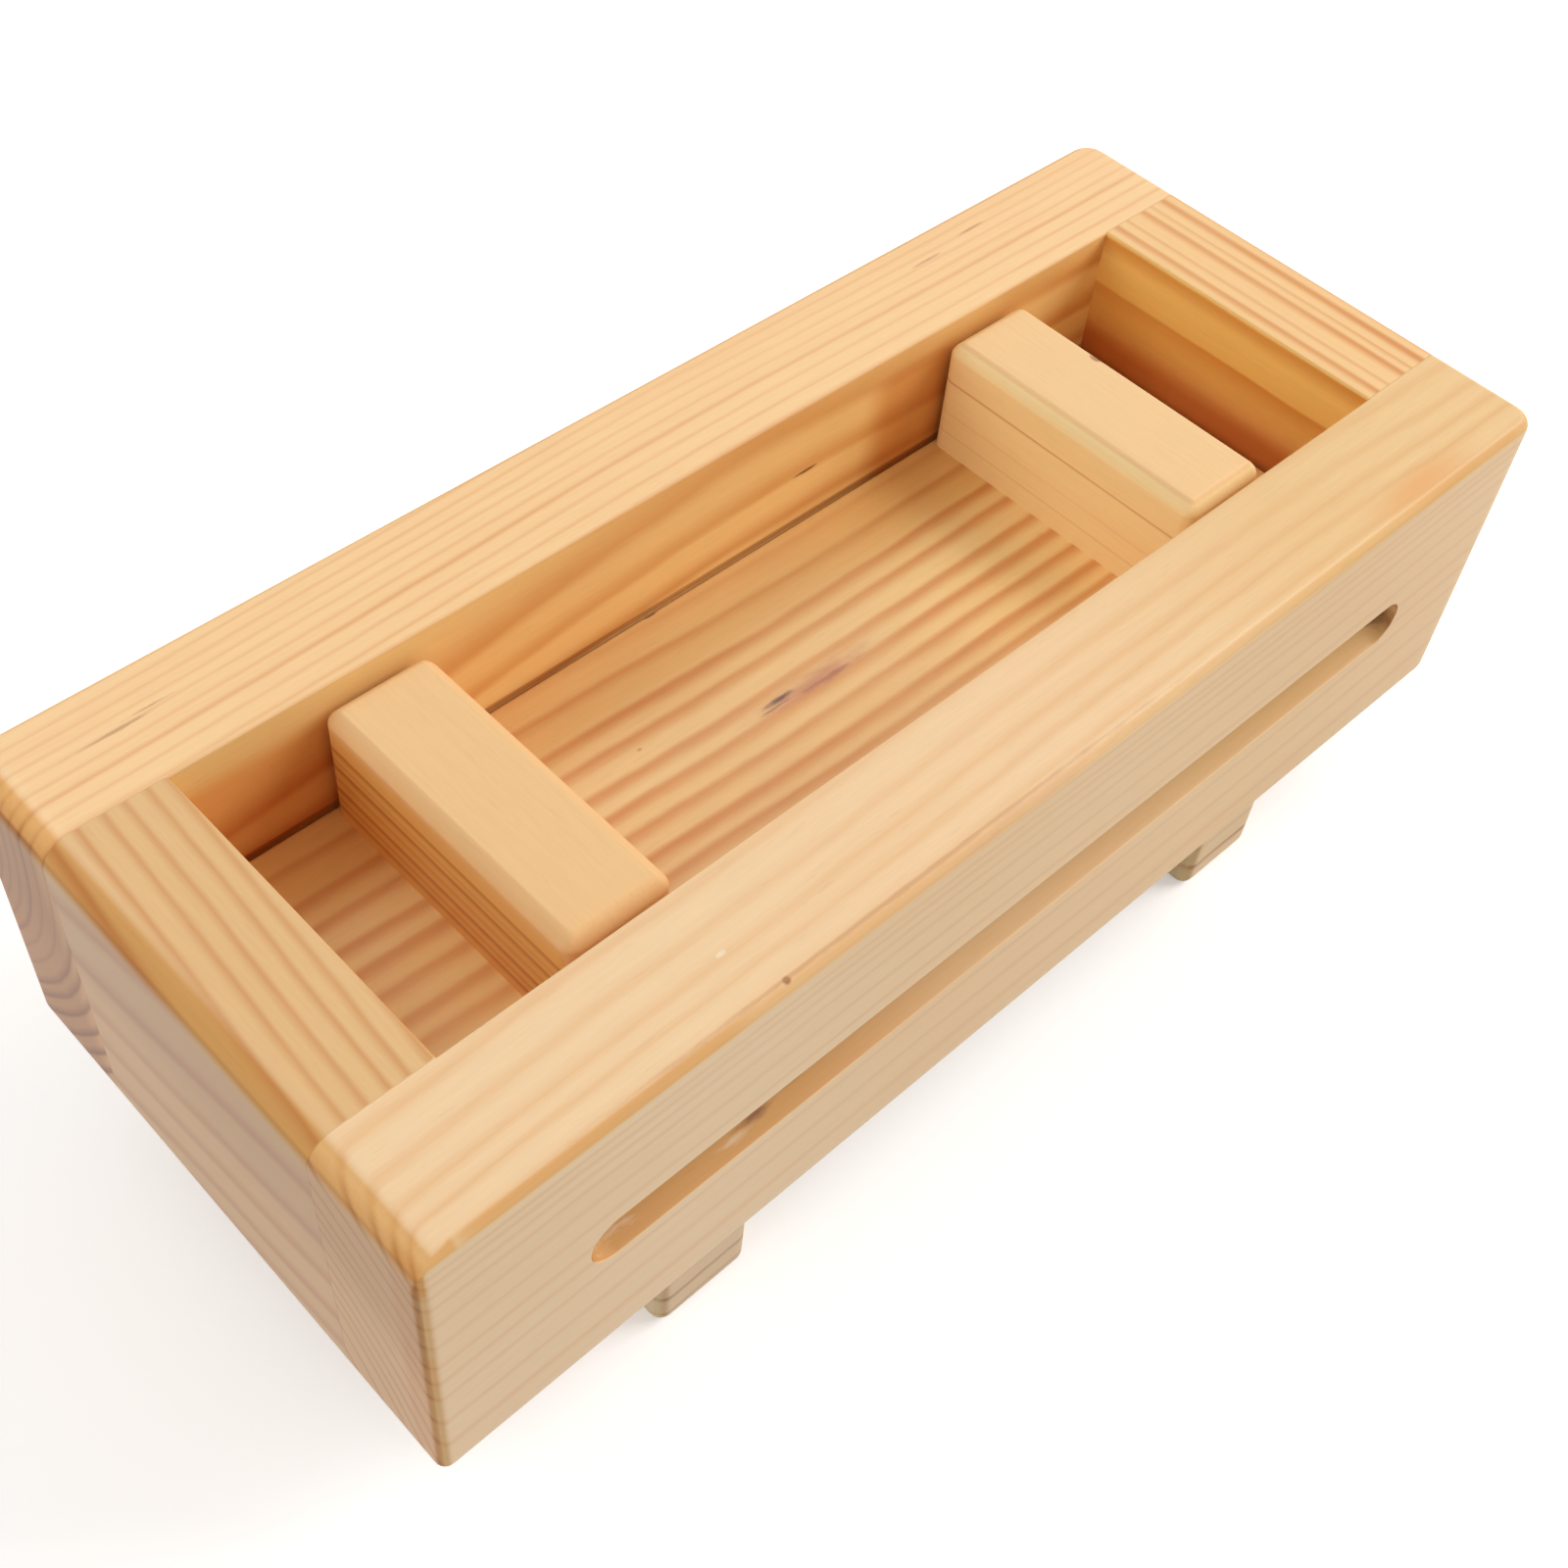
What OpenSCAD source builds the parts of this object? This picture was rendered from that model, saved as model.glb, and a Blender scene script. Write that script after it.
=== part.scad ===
// Wooden box press for moulding blocks of rice.
//
// Three loose assemblies make the press. The base is a board on two cross feet. The
// frame is a box of four rails with no top or bottom: it drops over the base board and
// rests on the ends of the feet. The press is a board with two cross handles, and it
// slides down inside the frame. Every fixed joint is glued on hidden dowels.
//
// X runs along the press, Y from front to back and Z up. The origin is under the middle
// of the press, on the surface it stands on.

/* [Frame] */
// Overall length of the frame
frame_len = 250; // [200:5:320]
// Overall width of the frame
frame_wid = 108; // [100:1:140]
// Height of the frame
frame_h = 65; // [56:1:90]
// Thickness of the front and back rails
long_rail_t = 23; // [19:0.5:26]
// Thickness of the left and right end rails
end_rail_t = 21; // [16:0.5:26]
// Radius on the outer edges of the frame
frame_edge_r = 2; // [1:0.5:4]
// Radius on the top edge of the left end, which is rounded off more than the others
left_edge_r = 5; // [3:0.5:8]
// Radius on the edges of the mouth, top and bottom
mouth_edge_r = 0.5; // [0.5:0.25:3]

/* [Finger grooves] */
// Width of the groove on the face of the rail
groove_w = 10.4; // [9:0.2:14]
// Depth of the groove
groove_depth = 4; // [2:0.25:4.5]
// Distance from the end of the frame to the end of the groove
groove_end_gap = 28; // [20:1:60]
// Height of the groove's middle above the underside of the frame
groove_height = 32.5; // [20:0.5:45]

/* [Press] */
// Thickness of the press board
press_board_t = 19; // [15:0.5:22]
// Gap all round the press board and the base board inside the frame
board_clearance = 0.7; // [0.3:0.1:1.5]
// Radius on the edges of both boards
board_edge_r = 0.8; // [0.4:0.2:2]
// How far the ends of each handle are set back from the edges of the press board
handle_setback = 1.3; // [1:0.1:4]
// Width of each handle
handle_wid = 20; // [14:0.5:30]
// Height of each handle above the press board
handle_h = 24; // [18:0.5:40]
// Chamfer round the top of each handle
handle_chamfer = 2.5; // [1:0.25:4]
// Radius on the upright edges of each handle
handle_corner_r = 2.5; // [1:0.25:5]
// Distance from the end of the frame to the middle of each handle
handle_inset = 56; // [40:1:75]
// How far the handles sit behind the middle of the press board
handle_shift = 1; // [-1:0.5:1]

/* [Base] */
// Thickness of the base board
base_board_t = 19; // [15:0.5:22]
// Width of each foot
foot_wid = 20; // [14:0.5:30]
// Height of each foot
foot_h = 24; // [18:0.5:40]
// How far the end of each foot is set back from the face of the frame
foot_setback = 4; // [1:0.5:8]
// Radius on the free edges of each foot
foot_edge_r = 2.5; // [1:0.25:5]
// Distance from the end of the frame to the middle of each foot
foot_inset = 56; // [40:1:75]

/* [Dowels] */
// Diameter of the dowels in the frame corners
corner_dowel_d = 8; // [6:0.5:10]
// Length of the dowels in the frame corners
corner_dowel_len = 30; // [20:1:32]
// Height between the two dowels of one frame corner
corner_dowel_spacing = 34; // [20:1:40]
// Diameter of the dowels in the handles and feet
cleat_dowel_d = 6; // [5:0.5:10]
// Length of the dowels in the handles and feet
cleat_dowel_len = 24; // [16:1:26]
// Distance between the two dowels of one handle or foot
cleat_dowel_spacing = 34; // [20:1:40]
// Chamfer on the ends of every dowel
dowel_chamfer = 1; // [0.5:0.25:1.5]
// Number of glue flutes round every dowel
flute_count = 10; // [6:1:14]
// Radius of each glue flute
flute_r = 0.5; // [0.3:0.1:0.8]
// Glue gap between a dowel and the wall of its bore
glue_gap = 0.05; // [0.02:0.01:0.15]
// Extra depth of each bore past the end of its dowel
bore_relief = 1; // [0.5:0.25:1.5]

/* [Hidden] */
$fn = 64;

// The sides of the press, as signs along X, Y and Z
left = -1;
right = 1;
front = -1;
back = 1;
lower = -1;
upper = 1;

// How far a cutting shape runs past the surface it cuts
overcut = 1;

// Levels, from the surface that the press stands on
frame_z = foot_h;
base_board_z = foot_h;
press_board_z = base_board_z + base_board_t;
handle_z = press_board_z + press_board_t;

// The mouth of the frame and the boards that slide in it
mouth_len = frame_len - 2 * end_rail_t;
mouth_wid = frame_wid - 2 * long_rail_t;
board_len = mouth_len - 2 * board_clearance;
board_wid = mouth_wid - 2 * board_clearance;
handle_len = board_wid - 2 * handle_setback;
foot_len = frame_wid - 2 * foot_setback;
handle_spacing = frame_len - 2 * handle_inset;
foot_spacing = frame_len - 2 * foot_inset;

// A ball cutter of this radius leaves a groove of the stated width and depth
groove_ball_r = (pow(groove_w / 2, 2) + pow(groove_depth, 2)) / (2 * groove_depth);
groove_ball_y = frame_wid / 2 + groove_ball_r - groove_depth;
groove_half_run = frame_len / 2 - groove_end_gap - groove_w / 2;

pine = "#e3bd86";
pine_board = "#dba873";
pine_block = "#e6c08c";
beech = "#c99b6b";

// ---------------------------------------------------------------- profiles

// A rectangle that stands on y = 0, centred on x, with its corners rounded.
// radii holds the bottom radius and the top radius; a zero leaves a square corner.
module rounded_profile(w, h, radii) {
    low = radii[0];
    high = radii[1];
    polygon([
        [-w / 2 + low, 0], [w / 2 - low, 0], [w / 2, low], [w / 2, h - high],
        [w / 2 - high, h], [-w / 2 + high, h], [-w / 2, h - high], [-w / 2, low]
    ]);
    for (side = [-1, 1]) {
        if (low > 0) translate([side * (w / 2 - low), low]) circle(low);
        if (high > 0) translate([side * (w / 2 - high), h - high]) circle(high);
    }
}

// A rectangle that stands on y = 0, centred on x, with its two top corners chamfered.
module chamfered_profile(w, h, chamfer) {
    polygon([
        [-w / 2, 0], [w / 2, 0], [w / 2, h - chamfer],
        [w / 2 - chamfer, h], [-w / 2 + chamfer, h], [-w / 2, h - chamfer]
    ]);
}

// The section of an open mouth through a frame of height h. Its rims flare outwards
// with a radius r at the bottom and the top, and it runs past both faces.
module mouth_profile(w, h, r) {
    translate([-w / 2, -overcut]) square([w, h + 2 * overcut]);
    for (side = [-1, 1], rim = [0, 1])
        translate([side * w / 2, rim * h]) scale([side, rim == 1 ? 1 : -1])
            difference() {
                translate([-overcut, -r]) square([r + overcut, r + overcut]);
                translate([r, -r]) circle(r);
            }
}

// Stands a profile up and runs it along X or along Y, centred on the origin.
module along_x(run) {
    rotate([90, 0, 90]) translate([0, 0, -run / 2]) linear_extrude(run) children();
}

module along_y(run) {
    rotate([90, 0, 0]) translate([0, 0, -run / 2]) linear_extrude(run) children();
}

// ---------------------------------------------------------------- solids

// A block that stands on z = 0, with its four upright edges rounded to plan_r and its
// long and cross edges rounded to radii, given for the bottom and the top.
module eased_block(size, plan_r, radii) {
    intersection() {
        along_x(size.x) rounded_profile(size.y, size.z, radii);
        along_y(size.y) rounded_profile(size.x, size.z, radii);
        linear_extrude(size.z)
            translate([0, -size.y / 2]) rounded_profile(size.x, size.y, [plan_r, plan_r]);
    }
}

// A block that stands on z = 0, with rounded upright edges and a chamfered top.
module chamfered_block(size, plan_r, chamfer) {
    intersection() {
        along_x(size.x) chamfered_profile(size.y, size.z, chamfer);
        along_y(size.y) chamfered_profile(size.x, size.z, chamfer);
        linear_extrude(size.z)
            translate([0, -size.y / 2]) rounded_profile(size.x, size.y, [plan_r, plan_r]);
    }
}

// A fluted dowel along Z, centred on the origin, with chamfered ends.
module fluted_dowel(d, len) {
    difference() {
        rotate_extrude()
            polygon([
                [0, -len / 2], [d / 2 - dowel_chamfer, -len / 2],
                [d / 2, -len / 2 + dowel_chamfer], [d / 2, len / 2 - dowel_chamfer],
                [d / 2 - dowel_chamfer, len / 2], [0, len / 2]
            ]);
        for (i = [0 : flute_count - 1])
            rotate([0, 0, i * 360 / flute_count]) translate([d / 2, 0, 0])
                cylinder(r = flute_r, h = len + 2 * overcut, center = true, $fn = 24);
    }
}

// The bore for such a dowel, open through both pieces of the joint.
module dowel_bore(d, len) {
    cylinder(r = d / 2 + glue_gap, h = len + 2 * bore_relief, center = true);
}

// ---------------------------------------------------------------- places

// The two dowels of one frame corner lie along Y, across the joint.
module at_corner_dowel(side, end, level) {
    translate([
        end * (frame_len - end_rail_t) / 2,
        side * mouth_wid / 2,
        frame_z + frame_h / 2 + level * corner_dowel_spacing / 2
    ]) rotate([90, 0, 0]) children();
}

// The dowels of a handle and a foot stand upright, across the joint with the board.
module at_handle_dowel(end, side) {
    translate([
        end * handle_spacing / 2, handle_shift + side * cleat_dowel_spacing / 2, handle_z
    ]) children();
}

module at_foot_dowel(end, side) {
    translate([end * foot_spacing / 2, side * cleat_dowel_spacing / 2, base_board_z])
        children();
}

module corner_bores() {
    for (side = [front, back], end = [left, right], level = [lower, upper])
        at_corner_dowel(side, end, level) dowel_bore(corner_dowel_d, corner_dowel_len);
}

module handle_bores() {
    for (end = [left, right], side = [front, back])
        at_handle_dowel(end, side) dowel_bore(cleat_dowel_d, cleat_dowel_len);
}

module foot_bores() {
    for (end = [left, right], side = [front, back])
        at_foot_dowel(end, side) dowel_bore(cleat_dowel_d, cleat_dowel_len);
}

// ---------------------------------------------------------------- frame

// The outer form of the whole frame, so that the rounded edges run on unbroken from
// one rail to the next. Of the wide second form only its left corners matter: they give
// the top edge of the left end its own radius.
module frame_form() {
    translate([0, 0, frame_z]) intersection() {
        eased_block(
            [frame_len, frame_wid, frame_h], frame_edge_r, [frame_edge_r, frame_edge_r]
        );
        translate([frame_len / 2, 0, 0]) along_y(frame_wid)
            rounded_profile(2 * frame_len, frame_h, [frame_edge_r, left_edge_r]);
    }
}

// The mouth that the boards slide in, with its flared rims.
module frame_mouth() {
    translate([0, 0, frame_z]) intersection() {
        along_x(frame_len + 2 * overcut) mouth_profile(mouth_wid, frame_h, mouth_edge_r);
        along_y(frame_wid + 2 * overcut) mouth_profile(mouth_len, frame_h, mouth_edge_r);
    }
}

// The finger groove that a ball cutter leaves along the outer face of a long rail.
module finger_groove(side) {
    translate([0, side * groove_ball_y, frame_z + groove_height]) {
        rotate([0, 90, 0]) cylinder(r = groove_ball_r, h = 2 * groove_half_run, center = true);
        for (end = [left, right])
            translate([end * groove_half_run, 0, 0]) sphere(groove_ball_r);
    }
}

module long_rail(side) {
    color(pine) difference() {
        intersection() {
            frame_form();
            translate([
                -frame_len / 2, side == back ? mouth_wid / 2 : -frame_wid / 2, frame_z
            ]) cube([frame_len, long_rail_t, frame_h]);
        }
        frame_mouth();
        finger_groove(side);
        corner_bores();
    }
}

module end_rail(end) {
    color(pine) difference() {
        intersection() {
            frame_form();
            translate([
                end == right ? mouth_len / 2 : -frame_len / 2, -mouth_wid / 2, frame_z
            ]) cube([end_rail_t, mouth_wid, frame_h]);
        }
        frame_mouth();
        corner_bores();
    }
}

module corner_dowel(side, end, level) {
    color(beech) at_corner_dowel(side, end, level)
        fluted_dowel(corner_dowel_d, corner_dowel_len);
}

// ---------------------------------------------------------------- press

module press_board() {
    color(pine_board) difference() {
        translate([0, 0, press_board_z])
            eased_block(
                [board_len, board_wid, press_board_t], board_edge_r,
                [board_edge_r, board_edge_r]
            );
        handle_bores();
    }
}

module handle(end) {
    color(pine_block) difference() {
        translate([end * handle_spacing / 2, handle_shift, handle_z])
            chamfered_block(
                [handle_wid, handle_len, handle_h], handle_corner_r, handle_chamfer
            );
        handle_bores();
    }
}

module handle_dowel(end, side) {
    color(beech) at_handle_dowel(end, side) fluted_dowel(cleat_dowel_d, cleat_dowel_len);
}

// ---------------------------------------------------------------- base

module base_board() {
    color(pine_board) difference() {
        translate([0, 0, base_board_z])
            eased_block(
                [board_len, board_wid, base_board_t], board_edge_r,
                [board_edge_r, board_edge_r]
            );
        foot_bores();
    }
}

// Only the underside of a foot is rounded: its top carries the board and the frame.
module foot(end) {
    color(pine_block) difference() {
        translate([end * foot_spacing / 2, 0, 0])
            eased_block([foot_wid, foot_len, foot_h], foot_edge_r, [foot_edge_r, 0]);
        foot_bores();
    }
}

module foot_dowel(end, side) {
    color(beech) at_foot_dowel(end, side) fluted_dowel(cleat_dowel_d, cleat_dowel_len);
}

// ---------------------------------------------------------------- nodes

long_rail(front);  // front_rail
long_rail(back);  // back_rail
end_rail(left);  // left_end_rail
end_rail(right);  // right_end_rail
corner_dowel(front, left, upper);  // front_left_upper_dowel
corner_dowel(front, left, lower);  // front_left_lower_dowel
corner_dowel(front, right, upper);  // front_right_upper_dowel
corner_dowel(front, right, lower);  // front_right_lower_dowel
corner_dowel(back, left, upper);  // back_left_upper_dowel
corner_dowel(back, left, lower);  // back_left_lower_dowel
corner_dowel(back, right, upper);  // back_right_upper_dowel
corner_dowel(back, right, lower);  // back_right_lower_dowel
press_board();
handle(left);  // left_handle
handle(right);  // right_handle
handle_dowel(left, front);  // left_handle_front_dowel
handle_dowel(left, back);  // left_handle_back_dowel
handle_dowel(right, front);  // right_handle_front_dowel
handle_dowel(right, back);  // right_handle_back_dowel
base_board();
foot(left);  // left_foot
foot(right);  // right_foot
foot_dowel(left, front);  // left_foot_front_dowel
foot_dowel(left, back);  // left_foot_back_dowel
foot_dowel(right, front);  // right_foot_front_dowel
foot_dowel(right, back);  // right_foot_back_dowel
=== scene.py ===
# %% [markdown]
# # A wooden press for blocks of rice
# The press is three loose assemblies of lacquered pine. The base is a board on two feet.
# The frame is a box of four rails without top or bottom, which drops over that board. The
# press itself is a second board with two handles, which slides down inside the frame.
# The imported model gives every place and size. What is made here is the wood: the eased
# edges, the routed grooves, and the growth rings that run through each block.

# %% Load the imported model
import math
import bmesh
import bpy
from mathutils import Matrix, Vector, noise


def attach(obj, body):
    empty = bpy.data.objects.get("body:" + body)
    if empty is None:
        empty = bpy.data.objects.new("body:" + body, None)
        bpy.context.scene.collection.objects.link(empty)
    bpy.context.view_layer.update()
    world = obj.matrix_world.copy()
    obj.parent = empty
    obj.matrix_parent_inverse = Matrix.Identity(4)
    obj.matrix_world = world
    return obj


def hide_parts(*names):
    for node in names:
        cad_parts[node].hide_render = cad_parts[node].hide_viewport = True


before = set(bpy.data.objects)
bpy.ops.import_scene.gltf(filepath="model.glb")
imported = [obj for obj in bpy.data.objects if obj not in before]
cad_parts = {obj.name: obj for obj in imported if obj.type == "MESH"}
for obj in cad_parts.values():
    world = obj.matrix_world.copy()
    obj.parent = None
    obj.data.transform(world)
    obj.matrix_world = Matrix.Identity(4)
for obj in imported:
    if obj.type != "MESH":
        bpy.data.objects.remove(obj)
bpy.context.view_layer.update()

MM = 0.001

# %% [markdown]
# ## The camera
# The press is seen from above its front left corner, from so near that its far end looks
# much smaller. Position and directions come from fitting a lens to the edges of the box,
# so the camera is placed by its matrix rather than by eye.

# %% Camera
CAMERA_AT = Vector((-181.43, -153.52, 322.11)) * MM
CAMERA_RIGHT = Vector((0.721094, -0.689051, 0.072334))
CAMERA_AHEAD = Vector((0.477214, 0.418274, -0.772860))
FOCAL_PIXELS = 2097.75
FRAME_PIXELS = 1600
SENSOR_WIDTH = 36

bpy.ops.object.camera_add()
camera = bpy.context.object
camera.name = "camera"
camera_up = CAMERA_RIGHT.cross(CAMERA_AHEAD)
camera.matrix_world = Matrix.LocRotScale(CAMERA_AT, Matrix((
    CAMERA_RIGHT, camera_up, -CAMERA_AHEAD)).transposed().to_quaternion(), None)
camera.data.sensor_width = SENSOR_WIDTH
camera.data.lens = FOCAL_PIXELS / FRAME_PIXELS * SENSOR_WIDTH
camera.data.clip_start = 0.01
bpy.context.scene.camera = camera
bpy.context.scene.view_settings.view_transform = "Standard"
print("lens", round(camera.data.lens, 1), "mm")

# %% [markdown]
# ## Node helpers
# A wood material is a long chain of small sums. These helpers write one node each: a value
# is either a number or the output of another node, and either can be handed in.

# %% Node helpers
def feed(tree, socket, value):
    """Links an output to the socket, or sets the socket to a plain value."""
    if isinstance(value, bpy.types.NodeSocket):
        tree.links.new(value, socket)
    elif value is not None:
        socket.default_value = value


def calc(tree, operation, *values, clamp=False):
    """A Math node."""
    made = tree.nodes.new("ShaderNodeMath")
    made.operation = operation
    made.use_clamp = clamp
    for socket, value in zip(made.inputs, values):
        feed(tree, socket, value)
    return made.outputs[0]


def vector_calc(tree, operation, *values):
    """A Vector Math node; lengths and products come back as a number."""
    made = tree.nodes.new("ShaderNodeVectorMath")
    made.operation = operation
    for socket, value in zip(made.inputs, values):
        feed(tree, socket, value)
    return made.outputs["Value" if operation in ("LENGTH", "DOT_PRODUCT") else "Vector"]


print("helpers for sums ready")

# %% More node helpers
def taken_apart(tree, vector):
    """The three numbers of a vector, by the names X, Y and Z."""
    made = tree.nodes.new("ShaderNodeSeparateXYZ")
    feed(tree, made.inputs[0], vector)
    return made.outputs


def scaled(tree, vector, factor):
    """A vector times a number."""
    made = vector_calc(tree, "SCALE", vector)
    feed(tree, made.node.inputs["Scale"], factor)
    return made


def step_between(tree, value, low, high, start=0.0, end=1.0):
    """A smooth step from start to end while value goes from low to high."""
    made = tree.nodes.new("ShaderNodeMapRange")
    made.interpolation_type = "SMOOTHSTEP"
    for socket, number in zip(made.inputs, (value, low, high, start, end)):
        feed(tree, socket, number)
    return made.outputs[0]


def blend_colours(tree, factor, under, over, how="MIX"):
    """A Mix node for two colours."""
    made = tree.nodes.new("ShaderNodeMix")
    made.data_type = "RGBA"
    made.blend_type = how
    feed(tree, made.inputs[0], factor)
    feed(tree, made.inputs[6], under)
    feed(tree, made.inputs[7], over)
    return made.outputs[2]


def cloud(tree, place, scale, detail=2.0, roughness=0.5, stretch=(1, 1, 1), output="Fac"):
    """Noise from 0 to 1; stretch squeezes the place first, so the clouds grow long."""
    made = tree.nodes.new("ShaderNodeTexNoise")
    feed(tree, made.inputs["Vector"], vector_calc(tree, "MULTIPLY", place, stretch))
    for label, number in (("Scale", scale), ("Detail", detail), ("Roughness", roughness)):
        made.inputs[label].default_value = number
    return made.outputs[output]


print("helpers for colours and noise ready")

# %% Curves and colours
def curve_through(tree, value, spots, sharp=False):
    """A Float Curve through spots, each a place and a level from 0 to 1."""
    made = tree.nodes.new("ShaderNodeFloatCurve")
    curve = made.mapping.curves[0]
    curve.points[0].location, curve.points[1].location = spots[0], spots[-1]
    for spot in spots[1:-1]:
        curve.points.new(*spot)
    if sharp:
        for point in curve.points:
            point.handle_type = "VECTOR"
    made.mapping.update()
    feed(tree, made.inputs["Value"], value)
    return made.outputs[0]


def srgb(red, green, blue):
    """A colour as read off a picture, 0 to 255, turned into the linear one Blender uses."""
    def linear(v):
        v /= 255
        return v / 12.92 if v <= 0.04045 else ((v + 0.055) / 1.055) ** 2.4
    return (linear(red), linear(green), linear(blue), 1.0)


print("mid grey is", round(srgb(128, 128, 128)[0], 3))

# %% Groups and materials
def group(name, inputs, outputs):
    """A new shader node group, with its input and output sockets."""
    tree = bpy.data.node_groups.new(name, "ShaderNodeTree")
    for label, kind, value in inputs:
        socket = tree.interface.new_socket(
            name=label, in_out="INPUT", socket_type="NodeSocket" + kind)
        socket.default_value = value
    for label, kind in outputs:
        tree.interface.new_socket(
            name=label, in_out="OUTPUT", socket_type="NodeSocket" + kind)
    return (tree, tree.nodes.new("NodeGroupInput").outputs,
            tree.nodes.new("NodeGroupOutput").inputs)


def new_material(name):
    """A material, with its tree and its Principled shader."""
    material = bpy.data.materials.new(name)
    material.use_nodes = True
    return material, material.node_tree, material.node_tree.nodes["Principled BSDF"]


def place_group(tree, name, **values):
    """Puts a group into a material, each input named with _ for a space."""
    made = tree.nodes.new("ShaderNodeGroup")
    made.node_tree = bpy.data.node_groups[name]
    for label, value in values.items():
        feed(tree, made.inputs[label.replace("_", " ")], value)
    return made.outputs


print("groups and materials can be started")

# %% [markdown]
# ## Floor and light
# The press is photographed in a white room. The main soft box stands on the right, so each
# handle shades the wall on its left. A weaker one stands behind, and a low one on the left
# reaches over the rim onto the right handle and the right wall. The floor is a plain pale
# sheet that keeps the shadow of the press. Camera rays see the world as plain white, while
# the light that the world gives is dimmer, so the background is white and the wood isn't.

# %% World
WORLD_LIGHT = 0.38


def white_world(strength):
    """White for the camera and in reflections, and a dimmer light for everything else."""
    world = bpy.data.worlds.new("white_room")
    bpy.context.scene.world = world
    world.use_nodes = True
    tree = world.node_tree
    back = tree.nodes["Background"]
    back.inputs["Color"].default_value = (1, 1, 1, 1)
    path = tree.nodes.new("ShaderNodeLightPath")
    seen = calc(tree, "MAXIMUM", path.outputs["Is Camera Ray"], calc(
        tree, "MAXIMUM", path.outputs["Is Glossy Ray"], path.outputs["Is Transmission Ray"]))
    feed(tree, back.inputs["Strength"], calc(
        tree, "MULTIPLY_ADD", seen, 1 - strength, strength))


white_world(WORLD_LIGHT)
print("world:", bpy.context.scene.world.name)

# %% Floor and lamps
FLOOR_LIT, FLOOR_SEEN, FLOOR_GLOW = (173, 169, 163), (250, 249, 247), 0.35
LAMPS_AIM = (0, 0, 0.05)
LAMPS = (("right_soft_box", (1.05, -0.55, 0.92), 0.9, 14.5),
         ("back_soft_box", (-0.4, 0.85, 0.95), 0.9, 4.5),
         ("left_soft_box", (-1.2, 0.0, 0.45), 0.6, 3.0))


def pale_floor():
    """A sheet under the feet, half lit by the lamps and half plain white to the camera."""
    bpy.ops.mesh.primitive_plane_add(size=8)
    floor = bpy.context.object
    floor.name = "floor"
    paint, tree, shader = new_material("floor_paper")
    shader.inputs["Roughness"].default_value = 0.9
    path = tree.nodes.new("ShaderNodeLightPath")
    seen = calc(tree, "MAXIMUM", path.outputs["Is Camera Ray"], path.outputs["Is Glossy Ray"])
    feed(tree, shader.inputs["Base Color"], blend_colours(
        tree, seen, srgb(*FLOOR_LIT), srgb(*FLOOR_SEEN)))
    feed(tree, shader.inputs["Emission Color"], (1, 1, 1, 1))
    feed(tree, shader.inputs["Emission Strength"], calc(tree, "MULTIPLY", seen, FLOOR_GLOW))
    floor.data.materials.append(paint)


def soft_lamp(name, at, size, energy):
    """A square soft box that faces the press."""
    bpy.ops.object.light_add(type="AREA", location=at)
    lamp = bpy.context.object
    lamp.name = name
    lamp.data.size = size
    lamp.data.energy = energy
    lamp.rotation_euler = (Vector(LAMPS_AIM) - Vector(at)).to_track_quat("-Z", "Y").to_euler()


pale_floor()
for name, at, size, energy in LAMPS:
    soft_lamp(name, at, size, energy)

# %% [markdown]
# ## Hand tools
# Every piece starts as a sawn block: a cube primitive at its size and place. Lines ruled
# across it give its flats an even mesh, its edges are rounded over with the bevel operator,
# and hollows are cut with a Boolean. Edges are picked by where they lie, as a maker picks
# them: this one and that one, and not the ones inside a joint.

# %% Hand tools
TINY = 0.001
X, Y, Z = 0, 1, 2


def work_on(piece):
    """Makes this the only selected piece."""
    bpy.ops.object.select_all(action="DESELECT")
    piece.select_set(True)
    bpy.context.view_layer.objects.active = piece


def settle():
    """Writes the place, turn and size of what is selected into its mesh."""
    bpy.ops.object.transform_apply(location=True, rotation=True, scale=True)


def sawn_block(name, low, high):
    """A cube between two corners given in millimetres."""
    low, high = Vector(low) * MM, Vector(high) * MM
    bpy.ops.mesh.primitive_cube_add(size=1, location=(low + high) / 2, scale=high - low)
    piece = bpy.context.object
    piece.name = piece.data.name = name
    settle()
    return piece


def pick(piece, kind, wanted):
    """In edit mode, selects the edges or faces whose corners, in millimetres, are wanted."""
    bpy.ops.mesh.select_mode(type=kind)
    bpy.ops.mesh.select_all(action="DESELECT")
    mesh = bmesh.from_edit_mesh(piece.data)
    for part in mesh.edges if kind == "EDGE" else mesh.faces:
        if wanted(*[v.co / MM for v in part.verts]):
            part.select_set(True)
    bmesh.update_edit_mesh(piece.data)


def bevel(radius, steps=6, profile=0.5):
    """Rounds what is selected."""
    bpy.ops.mesh.bevel(offset=radius * MM, segments=steps, affect="EDGES", profile=profile,
                       clamp_overlap=False)


print("picking tools ready")

# %% Tools that cut and round
def rule(piece, cuts):
    """Rules even lines square to X, Y and Z, as many as cuts says."""
    for axis, count in enumerate(cuts):
        pick(piece, "EDGE", lambda a, b: abs(a[axis] - b[axis]) > TINY)
        bpy.ops.mesh.subdivide(number_cuts=count)


def round_over(piece, pairs, radius, steps=6):
    """Rounds the edges where two flat faces meet; a face is an axis and its place."""
    def on(point, face):
        return abs(point[face[0]] - face[1]) < TINY
    pick(piece, "EDGE", lambda a, b: any(
        on(a, p) and on(b, p) and on(a, q) and on(b, q) for p, q in pairs))
    bevel(radius, steps)


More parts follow.
